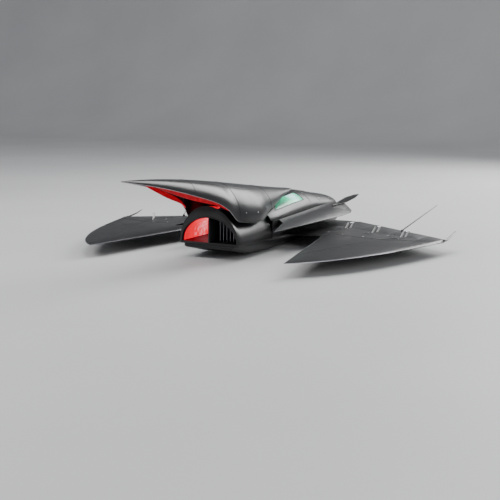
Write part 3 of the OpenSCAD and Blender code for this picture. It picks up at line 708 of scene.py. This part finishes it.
class WING_OT_hull(bpy.types.Operator):
    """Finish the hull tub, rear deck, skid and lamp windows"""

    bl_idname = "flying_wing.hull"
    bl_label = "Hull and deck"

    def execute(self, context):
        for name in ("centre_hull", "rear_deck", "belly_skid"):
            smoothed(name)
        for side in SIDES:
            smoothed(f"{side}_lamp_window", bevel=0.8)
        self.deck_details()
        self.window_frames()
        self.skid_screws()
        return {"FINISHED"}

    def deck_details(self):
        """Panel seams across and along the deck, with a row of screws behind each cross seam."""
        own = sizes()
        deck = tree("rear_deck")
        seams = Piece("rear_deck.seams", "airframe", "skid_plate")
        screws = Piece("rear_deck.screws", "airframe", "steel")
        half = high("rear_deck").x - 5
        for y in DECK_SEAMS:
            seams.tube(line_on(deck, (-half, y), (half, y), 60), own.seam)
            for share in (-0.86, -0.55, 0.55, 0.86):
                place, normal = laid(deck, half * share, y + 7)
                screws.screw(place, normal, own.screw)
        for s in SIDES.values():
            seams.tube(line_on(deck, (s * 22, 172), (s * 30, high("rear_deck").y - 4), 40), own.seam)
        seams.make()
        screws.make(angle=30)

    def window_frames(self):
        """A bead round each lamp window, just inside its edge."""
        frames = Piece("rear_deck.window_frames", "airframe", "hood_graphite")
        inward = 0.7
        for side, s in SIDES.items():
            lens = tree(f"{side}_lamp_window")
            lo, hi = low(f"{side}_lamp_window"), high(f"{side}_lamp_window")
            outer, inner = (hi.x, lo.x) if s > 0 else (lo.x, hi.x)
            corners = [(outer, lo.y), (outer, hi.y), (inner, hi.y), (inner, WINDOW_SLANT_Y)]
            middle = (lo + hi) / 2
            for k, corner in enumerate(corners):
                ends = [(p[0] + (inward if p[0] < middle.x else -inward),
                         p[1] + (inward * 2 if p[1] < middle.y else -inward))
                        for p in (corner, corners[(k + 1) % 4])]
                path = line_on(lens, ends[0], ends[1], 24)
                if len(path) > 2:
                    frames.tube(path, 1.1)
        frames.make()

    def skid_screws(self):
        """Two rows of screws on the skid's upper face."""
        skid = Piece("belly_skid.screws", "airframe", "steel")
        lo, hi = low("belly_skid"), high("belly_skid")
        for side in (-1, 1):
            for share in (0.12, 0.5, 0.88):
                y = lo.y + (hi.y - lo.y) * share
                skid.screw((side * (hi.x - 8), y, hi.z), (0, 0, 1), sizes().screw * 0.8)
        skid.make(angle=30)


def mouth_point(angle, inset, y):
    """Point on the mouth's half-round outline."""
    share = abs(math.cos(angle)) ** 1.02 * (1 if math.cos(angle) >= 0 else -1)
    rise = (MOUTH_HEIGHT - inset) * math.sin(angle)
    return Vector(((MOUTH_HALF - inset) * share, y, MOUTH_FLOOR + 0.5 + rise))


def mouth_top(x):
    """Height of the mouth's outline at a sideways place."""
    return MOUTH_FLOOR + MOUTH_HEIGHT * math.sqrt(max(0, 1 - (abs(x) / MOUTH_HALF) ** 2))


def round_shaft(side, y, radius, steps):
    """Points of a closed circle round one fan's shaft."""
    hub = joint_place(f"{side}_fan_spin")
    turns = [2 * math.pi * k / steps for k in range(steps + 1)]
    return [Vector((hub.x + radius * math.cos(a), y, hub.z + radius * math.sin(a))) for a in turns]


class WING_OT_intake(bpy.types.Operator):
    """Finish the split intake with its lip, guide vanes and painted red glow"""

    bl_idname = "flying_wing.intake"
    bl_label = "Intake"

    def execute(self, context):
        smoothed("intake_block", bevel=0.9)
        smoothed("intake_splitter", bevel=1.2)
        for side in SIDES:
            smoothed(f"{side}_inlet_duct", bevel=0.3)
        self.guide_vanes()
        self.painted_glow_liner()
        self.duct_ring()
        self.lip_bead()
        return {"FINISHED"}

    def guide_vanes(self):
        """Six upright slats in the port half of the mouth."""
        vanes = Piece("intake.guide_vanes", "airframe", "motor_metal")
        lean = Matrix.Rotation(math.radians(16), 3, "Z")
        foot = MOUTH_FLOOR + 0.6
        for k in range(6):
            x = 14 + 9.5 * k
            top = mouth_top(x) - 2.5
            vanes.slab((x, BACK_WALL_Y - 98, (foot + top) / 2), (1.1, 26, top - foot), lean, 0.4)
        vanes.make(angle=30)

    def painted_glow_liner(self):
        """The lamp's red light painted as glow on the starboard half: side wall, back wall round the duct,
        and a ring at the duct.
        """
        # Painted light: these walls glow red where the lamp lights them, brightest at the core of the red
        # material
        glow = Piece("intake.painted_glow_liner", "airframe", "lamp_red")
        wall = [math.pi * k / 40 for k in range(41) if math.pi * k / 40 > math.radians(93)]
        glow.loft([[mouth_point(a, 0.6, y) for a in wall] + [mouth_point(a, 2, y) for a in reversed(wall)]
                   for y in (BACK_WALL_Y - 128, BACK_WALL_Y - 8)])
        self.back_wall(glow)
        outer = (high("starboard_inlet_duct").z - low("starboard_inlet_duct").z) / 2
        y = low("starboard_inlet_duct").y - 2.2
        thick = Vector((0, 1.6, 0))
        pairs = zip(round_shaft("starboard", y, outer - 3, 48), round_shaft("starboard", y, outer - 0.5, 48))
        glow.loft([[near, far, far + thick, near + thick] for near, far in pairs], caps=False)
        glow.make(angle=40)

    def back_wall(self, glow):
        """Back wall of the starboard half, painted with red glow, from the duct out to the mouth's outline.
        """
        hub = joint_place("starboard_fan_spin")
        bore = high("starboard_inlet_duct").z - hub.z + 0.6
        thick = Vector((0, 1.4, 0))
        rings = []
        for k in range(65):
            turn = 2 * math.pi * k / 64
            way = Vector((math.cos(turn), 0, math.sin(turn)))
            reach = bore
            while reach < MOUTH_HALF - 8 and self.lit(hub + way * reach):
                reach += 0.5
            start = Vector((hub.x, BACK_WALL_Y - 3, hub.z))
            near = start + way * bore
            far = start + way * max(reach, bore + 0.3)
            rings.append([near, far, far + thick, near + thick])
        glow.loft(rings, caps=False)

    def lit(self, p):
        """Whether a point lies in the starboard half of the mouth."""
        return p.x < -3 and MOUTH_FLOOR + 1 < p.z < mouth_top(p.x) - 1

    def duct_ring(self):
        """Steel ring at the mouth of the port duct."""
        trim = Piece("intake.duct_rings", "airframe", "steel")
        outer = (high("starboard_inlet_duct").z - low("starboard_inlet_duct").z) / 2
        y = low("starboard_inlet_duct").y - 1
        trim.tube(round_shaft("port", y, outer - 0.6, 64), 1)
        trim.make()

    def lip_bead(self):
        """Bead round the mouth's lip, which leans forward a little as it rises."""
        lip = Piece("intake.lip_bead", "airframe", "hood_graphite")
        crown = high("intake_block").z
        path = []
        for a in [math.pi * k / 60 for k in range(61)]:
            spot = mouth_point(a, -1.2, 0)
            path.append(Vector((spot.x, low("intake_block").y + LIP_LEAN * (crown - spot.z), spot.z)))
        lip.tube(path, sizes().bead * 1.1, 10)
        lip.make()


# ---------------------------------------------------------------- wings

class WING_OT_wings(bpy.types.Operator):
    """Finish both wings, their strakes, tips, fins, seams, covers and control surfaces"""

    bl_idname = "flying_wing.wings"
    bl_label = "Wings"

    def execute(self, context):
        for side, s in SIDES.items():
            for part in ("wing", "strake", "tail_fin", "tip_spike"):
                smoothed(f"{side}_{part}", bevel=0.35 if part != "wing" else 0.3)
            for k in SURFACES:
                smoothed(f"{side}_{k}", bevel=0.35)
            self.trim(side, s)
        return {"FINISHED"}

    def trim(self, side, s):
        """Leading edge bead, panel seams, covers and screws of one wing."""
        own = sizes()
        wing = tree(f"{side}_wing")
        mesh = frame["nodes"][f"{side}_wing"].data
        spots = [v.co / MM for v in mesh.vertices]
        middle = joint_place(f"{side}_flap_hinge").z
        edge = {}
        for p in spots:
            if abs(p.z - middle) < 0.6 and abs(p.x) > 180:
                key = round(abs(p.x), 0)
                if key not in edge or p.y < edge[key].y:
                    edge[key] = Vector((p.x, p.y, middle))
        front = [edge[k] for k in sorted(edge) if edge[k].y < 32]
        bead = Piece(f"{side}_wing.edge_bead", "airframe", "motor_metal")
        if len(front) > 3:
            bead.tube(front, own.bead * 0.8)
        bead.make()
        seams = Piece(f"{side}_wing.seams", "airframe", "skid_plate")
        for start, end in (((100, -6), (100, 170)), ((100, 6), (352, -30)), ((196, -40), (262, -330)),
                           ((262, -330), (352, -30)), ((352, -30), (352, 62)), ((352, -30), (470, 10)),
                           ((196, -40), (214, 118))):
            path = line_on(wing, (s * start[0], start[1]), (s * end[0], end[1]), 60)
            if len(path) > 3:
                seams.tube(path, own.seam)
        seams.make()
        screws = Piece(f"{side}_wing.screws", "airframe", "steel")
        for x, y in ((108, 8), (108, 70), (108, 130), (190, 20), (240, 0), (344, -20), (344, 50), (300, -12)):
            found = laid(wing, s * x, y)
            if found:
                screws.screw(found[0], found[1], own.screw)
        covers = Piece(f"{side}_wing.servo_covers", "airframe", "hood_graphite")
        for k in SURFACES:
            self.cover(covers, screws, wing, side, s, k)
        covers.make(angle=30)
        screws.make(angle=30)

    def cover(self, covers, screws, wing, side, s, k):
        """A flush plate over one servo, ahead of its arm."""
        pin = joint_place(f"{side}_{k}_servo")
        hinge = joint_place(f"{side}_{k}_hinge")
        aft = (hinge - pin).normalized()
        out = Vector((aft.y, -aft.x, 0)) * s
        corners = ((-6, -7), (22, -7), (22, -30), (-6, -30))
        rings = []
        for lift in (-0.6, 0.5):
            ring = []
            for u, v in corners:
                spot = pin + out * u + aft * v
                found = laid(wing, spot.x, spot.y, lift=lift)
                ring.append(found[0] if found else Vector((spot.x, spot.y, pin.z + 8 + lift)))
            rings.append(ring)
        covers.loft(rings)
        for u, v in ((-3, -10), (19, -10), (19, -27), (-3, -27)):
            spot = pin + out * u + aft * v
            found = laid(wing, spot.x, spot.y, lift=0.6)
            if found:
                screws.screw(found[0], found[1], sizes().screw * 0.62)


class WING_OT_linkage(bpy.types.Operator):
    """Finish the horns, servo arms, pushrods, hinge pin and antennas"""

    bl_idname = "flying_wing.linkage"
    bl_label = "Linkage"

    def execute(self, context):
        for side in SIDES:
            for k in SURFACES:
                for part in ("horn", "arm"):
                    smoothed(f"{side}_{k}_{part}", bevel=0.25)
                smoothed(f"{side}_{k}_rod", bevel=0.12)
                self.clip(side, k)
            smoothed(f"{side}_antenna", bevel=0.2)
        smoothed("hood_hinge_pin", bevel=0.4)
        smoothed("servos", bevel=0.4)
        smoothed("wing_spars", bevel=0.2)
        return {"FINISHED"}

    def clip(self, side, k):
        """Stepped sleeve in the middle of one push rod."""
        lo, hi = low(f"{side}_{k}_rod"), high(f"{side}_{k}_rod")
        aft = (joint_place(f"{side}_{k}_hinge") - joint_place(f"{side}_{k}_servo")).normalized()
        out = Vector((aft.y, -aft.x, 0)) * SIDES[side]
        middle = Vector(((lo.x + hi.x) / 2, (lo.y + hi.y) / 2, hi.z - 0.8)) + out * 0.75
        sleeve = Piece(f"{side}_{k}_rod.sleeve", f"{side}_{k}_pushrod", "steel")
        steps = ((-4, 0.9), (-3.4, 0.9), (-3.2, 1.35), (3.2, 1.35), (3.4, 0.9), (4, 0.9))
        sleeve.tube([middle + aft * along for along, _ in steps], [radius for _, radius in steps], 12)
        sleeve.make(angle=30)


# ---------------------------------------------------------------- fans and power

class WING_OT_fans(bpy.types.Operator):
    """Build the curved fan rotors and finish shrouds, motors and nozzles"""

    bl_idname = "flying_wing.fans"
    bl_label = "Fans"

    def execute(self, context):
        for side in SIDES:
            for part in ("fan_shroud", "motor", "exhaust"):
                smoothed(f"{side}_{part}", bevel=0.25)
            self.rotor(side)
        return {"FINISHED"}

    def rotor(self, side):
        """Twisted blades round a domed hub."""
        shaft = joint_place(f"{side}_fan_spin")
        lo, hi = low(f"{side}_rotor"), high(f"{side}_rotor")
        tip = (hi.x - lo.x) / 2 - 0.1
        fan = Piece(f"{side}_rotor.blades", f"{side}_fan", "rotor_black")
        profile = [(0.3, lo.y), (2.6, lo.y + 0.5), (5.4, lo.y + 2.6), (8, lo.y + 5.6), (10, lo.y + 9.4),
                   (ROTOR_HUB, lo.y + 13), (ROTOR_HUB, hi.y - 0.6), (ROTOR_HUB - 0.6, hi.y), (2.2, hi.y)]
        fan.loft([round_shaft(side, y, radius, 48)[:-1] for radius, y in profile])
        for blade in range(ROTOR_BLADES):
            base = 2 * math.pi * blade / ROTOR_BLADES
            fan.loft([self.section(shaft, base, step / 8, tip) for step in range(9)])
        fan.make(angle=40, replaces=(f"{side}_rotor",))

    def section(self, shaft, base, share, tip):
        """Cambered section of one blade at a share of its length: less pitch and chord towards the tip."""
        radius = ROTOR_HUB - 1 + (tip - ROTOR_HUB + 1) * share
        pitch = math.radians(52 - 20 * share)
        chord = 12.2 - 1.4 * share
        points = []
        for place, skin in ((-0.5, 0.1), (-0.3, 0.55), (0, 0.7), (0.3, 0.45), (0.5, 0.1),
                            (0.5, -0.1), (0.3, 0.05), (0, 0.12), (-0.3, 0.05), (-0.5, -0.1)):
            along = place * chord
            thick = skin + 1.4 * (0.25 - place * place)
            y = shaft.y + along * math.cos(pitch) * 0.98 - thick * math.sin(pitch)
            swing = along * math.sin(pitch) + thick * math.cos(pitch)
            angle = base + 0.12 * share + swing / radius
            y = min(max(y, shaft.y - 6.4), shaft.y + 6.4)
            points.append(Vector((shaft.x + radius * math.cos(angle), y, shaft.z + radius * math.sin(angle))))
        return points


class WING_OT_power(bpy.types.Operator):
    """Dress the battery, strap, flight controller, speed controllers and lamp under the hood"""

    bl_idname = "flying_wing.power"
    bl_label = "Power and radio"

    def execute(self, context):
        dice = random.Random(7)
        for name in ("battery", "battery_strap", "flight_controller", "speed_controllers", "hood_lamp"):
            smoothed(name, bevel=1.6 if name in ("battery", "speed_controllers") else 0.5)
        lo, hi = low("battery"), high("battery")
        cells = Piece("battery.cell_ridges", "airframe", "battery_wrap")
        for k in range(1, 4):
            z = lo.z + (hi.z - lo.z) * k / 4
            for x in (lo.x, hi.x):
                cells.tube([(x, lo.y + 3, z), (x, hi.y - 3, z)], 0.5)
        cells.make()
        plug = Piece("battery.connector", "airframe", "nylon_white")
        plug.slab(((lo.x + hi.x) / 2, hi.y + 8, lo.z + 14), (16, 14, 9), round_by=1.4)
        plug.make(angle=30)
        tails = Piece("battery.tails", "airframe", "lamp_red")
        for x in (-3, 3):
            tails.tube([(x, hi.y - 1, lo.z + 16), (x, hi.y + 1, lo.z + 15), (x, hi.y + 3, lo.z + 14)], 1.6)
        tails.make(material=painted("red silicone lead", (0.5, 0.01, 0.01), 0.4, 0.1, 0.1, 0, 900, 0.1))
        buckle = Piece("battery_strap.buckle", "airframe", "steel")
        top = high("battery_strap").z
        y = (low("battery_strap").y + high("battery_strap").y) / 2
        buckle.tube([(-9, y - 10, top + 0.6), (9, y - 10, top + 0.6), (9, y + 10, top + 0.6),
                     (-9, y + 10, top + 0.6), (-9, y - 10, top + 0.6)], 0.9)
        buckle.make()
        lo, hi = low("flight_controller"), high("flight_controller")
        case = Piece("flight_controller.case", "airframe", "servo_plastic")
        pins = Piece("flight_controller.pins", "airframe", "steel")
        chips = Piece("flight_controller.chips", "airframe", "heat_shrink")
        case.slab((0, (lo.y + hi.y) / 2, hi.z - 1.5), (30, 26, 4.2), round_by=1.5)
        for s in (-1, 1):
            for k in range(8):
                y = lo.y + 5 + 4 * k
                pins.slab((s * 39, y, lo.z + 2.6), (6, 0.8, 2.2), round_by=0.2)
            for k in range(5):
                chips.slab((s * (22 + dice.uniform(0, 8)), lo.y + 5 + 7 * k, lo.z + 1.8),
                           (dice.uniform(3, 6), dice.uniform(3, 5), 1.4), round_by=0.3)
        case.make(angle=30)
        pins.make(angle=30)
        chips.make(angle=30)
        return {"FINISHED"}


# ---------------------------------------------------------------- stage

class WING_OT_stage(bpy.types.Operator):
    """Lay the pale floor, set the soft lights and the camera"""

    bl_idname = "flying_wing.stage"
    bl_label = "Stage"

    def execute(self, context):
        reach, back, rise = 9.0, 5.0, 6.0
        mesh = bpy.data.meshes.new("stage.floor")
        columns = (-reach, reach)
        profile = [(-reach, 0.0), (back, 0.0)]
        bend = 1.6
        for k in range(1, 13):
            a = math.pi / 2 * k / 12
            profile.append((back + bend * math.sin(a), bend * (1 - math.cos(a))))
        profile.append((back + bend, rise))
        points = [(x, y, z) for y, z in profile for x in columns]
        faces = [(2 * k, 2 * k + 1, 2 * k + 3, 2 * k + 2) for k in range(len(profile) - 1)]
        mesh.from_pydata(points, [], faces)
        mesh.shade_smooth()
        floor = bpy.data.objects.new("stage.floor", mesh)
        bpy.context.collection.objects.link(floor)
        material, tree_, shader = blank("pale floor", 0.55)
        fine = placed(material, "grain", Scale=160, Mottle=1.4)
        tone = colour_mix(tree_, fine.outputs["Mottle"], (0.6, 0.6, 0.6, 1), (0.66, 0.66, 0.655, 1))
        tree_.links.new(tone, shader.inputs["Base Color"])
        mesh.materials.append(material)
        for name, place, size, power, aim in (
                ("key", (-1.6, -1.9, 2.6), 1.8, 62, (0, 0, 0.08)),
                ("rim", (0.9, 2.6, 1.7), 2.0, 90, (0, 0, 0.1)),
                ("fill", (3.0, -1.2, 1.3), 1.6, 26, (0, -0.1, 0.08)),
                ("top", (0.1, 0.1, 3.2), 2.4, 45, (0, 0, 0))):
            lamp = bpy.data.lights.new(name, "AREA")
            lamp.energy = power
            lamp.shape = "DISK"
            lamp.size = size
            holder = bpy.data.objects.new(name, lamp)
            holder.location = place
            holder.rotation_euler = (Vector(aim) - Vector(place)).to_track_quat("-Z", "Y").to_euler()
            bpy.context.collection.objects.link(holder)
        world = bpy.data.worlds.new("soft studio")
        world.use_nodes = True
        world.node_tree.nodes["Background"].inputs["Color"].default_value = (0.82, 0.85, 0.9, 1)
        world.node_tree.nodes["Background"].inputs["Strength"].default_value = 0.42
        context.scene.world = world
        view = bpy.data.cameras.new("view")
        view.lens = 63
        view.sensor_width = 36
        camera = bpy.data.objects.new("view", view)
        camera.location = (1.0820, -2.1191, 0.3885)
        camera.rotation_euler = (math.radians(80.27), 0, math.radians(27.8))
        bpy.context.collection.objects.link(camera)
        context.scene.camera = camera
        return {"FINISHED"}


OPERATORS = (WING_OT_hull, WING_OT_intake, WING_OT_hood, WING_OT_wings, WING_OT_linkage, WING_OT_fans,
             WING_OT_power, WING_OT_stage)


class WING_PT_panel(bpy.types.Panel):
    """Lists the pieces in the sidebar"""

    bl_idname = "WING_PT_panel"
    bl_label = "Flying Wing"
    bl_space_type = "VIEW_3D"
    bl_region_type = "UI"
    bl_category = "Flying Wing"

    def draw(self, context):
        for made in OPERATORS:
            self.layout.operator(made.bl_idname)
        for settings in (context.scene.wing_sizes, context.scene.wing_colours):
            for name in settings.__annotations__:
                self.layout.prop(settings, name)


CLASSES = (WingSizes, WingColours, *OPERATORS, WING_PT_panel)


def register():
    for made in CLASSES:
        bpy.utils.register_class(made)
    bpy.types.Scene.wing_sizes = bpy.props.PointerProperty(type=WingSizes)
    bpy.types.Scene.wing_colours = bpy.props.PointerProperty(type=WingColours)


def unregister():
    del bpy.types.Scene.wing_colours
    del bpy.types.Scene.wing_sizes
    for made in reversed(CLASSES):
        bpy.utils.unregister_class(made)


def main():
    register()
    for made in OPERATORS:
        section, name = made.bl_idname.split(".")
        getattr(getattr(bpy.ops, section), name)()


if __name__ == "__main__":
    main()
